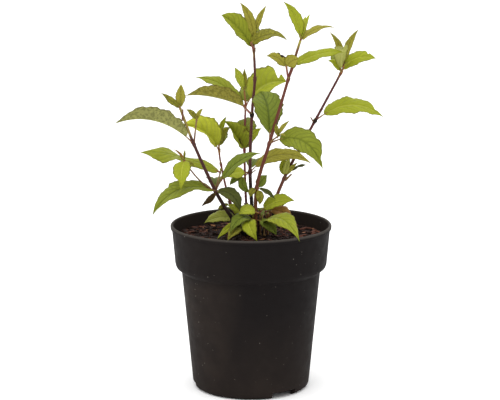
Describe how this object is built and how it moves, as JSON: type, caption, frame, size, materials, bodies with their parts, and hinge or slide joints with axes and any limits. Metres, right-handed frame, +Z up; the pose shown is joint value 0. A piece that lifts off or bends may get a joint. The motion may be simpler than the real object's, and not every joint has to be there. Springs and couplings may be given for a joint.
{
  "type": "potted young dogwood shrub",
  "caption": "Young multi-stemmed dogwood shrub with opposite arching leaves, growing in a round black nursery pot filled with bark mix.",
  "frame": {"origin": "centre of the pot's flat standing plane, on the pot's axis", "axes": "+Z up along the pot's axis, -Y towards the pictured front, +X to the right in that view"},
  "size_m": [0.2802, 0.175, 0.4142],
  "materials": {
    "pot": "black injection moulded polypropylene, satin, slightly dusty",
    "soil": "dark peat and composted bark with loose chips",
    "bark": "smooth dark red young bark with small pores, browner and rougher at the foot",
    "leaf": "soft green leaves with sunken curved veins and paler undersides"
  },
  "bodies": {
    "root": {"pot": "pot", "soil": "soil", "stem_left": "bark", "stem_behind": "bark", "stem_slender": "bark", "stem_middle": "bark", "stem_tall": "bark", "stem_right": "bark", "root_crown": "bark", "leaves_left_tip": "leaf", "leaves_left_upper": "leaf", "leaves_left_upper_shoot": "leaf", "leaves_left_shade": "leaf", "leaves_left_lower": "leaf", "leaves_left_back": "leaf", "leaves_left_far": "leaf", "leaves_left_inner": "leaf", "leaves_left_shoot": "leaf", "leaves_behind_upper": "leaf", "leaves_behind_far": "leaf", "leaves_behind_tip": "leaf", "leaves_behind_lower": "leaf", "leaves_slender_middle": "leaf", "leaves_slender_low_far": "leaf", "leaves_slender_right": "leaf", "leaves_slender_far": "leaf", "leaves_slender_left": "leaf", "leaves_slender_tip": "leaf", "leaves_middle_low_left": "leaf", "leaves_middle_low_far": "leaf", "leaves_middle_low_right": "leaf", "leaves_middle_upper": "leaf", "leaves_middle_right": "leaf", "leaves_middle_far": "leaf", "leaves_middle_left": "leaf", "leaves_middle_tip": "leaf", "leaves_tall_foot": "leaf", "leaves_tall_low_up": "leaf", "leaves_tall_low_right": "leaf", "leaves_tall_shoot": "leaf", "leaves_tall_left": "leaf", "leaves_tall_right": "leaf", "leaves_tall_tip": "leaf", "leaves_right_lower": "leaf", "leaves_right_middle": "leaf", "leaves_right_front": "leaf", "leaves_right_far": "leaf", "leaves_right_upper": "leaf", "leaves_right_tip": "leaf", "leaves_low_left": "leaf", "leaves_low_left_far": "leaf", "leaves_low_front": "leaf", "leaves_low_top": "leaf", "leaves_low_over_rim": "leaf", "leaves_low_right": "leaf", "leaves_low_right_far": "leaf"}
  },
  "joints": []
}
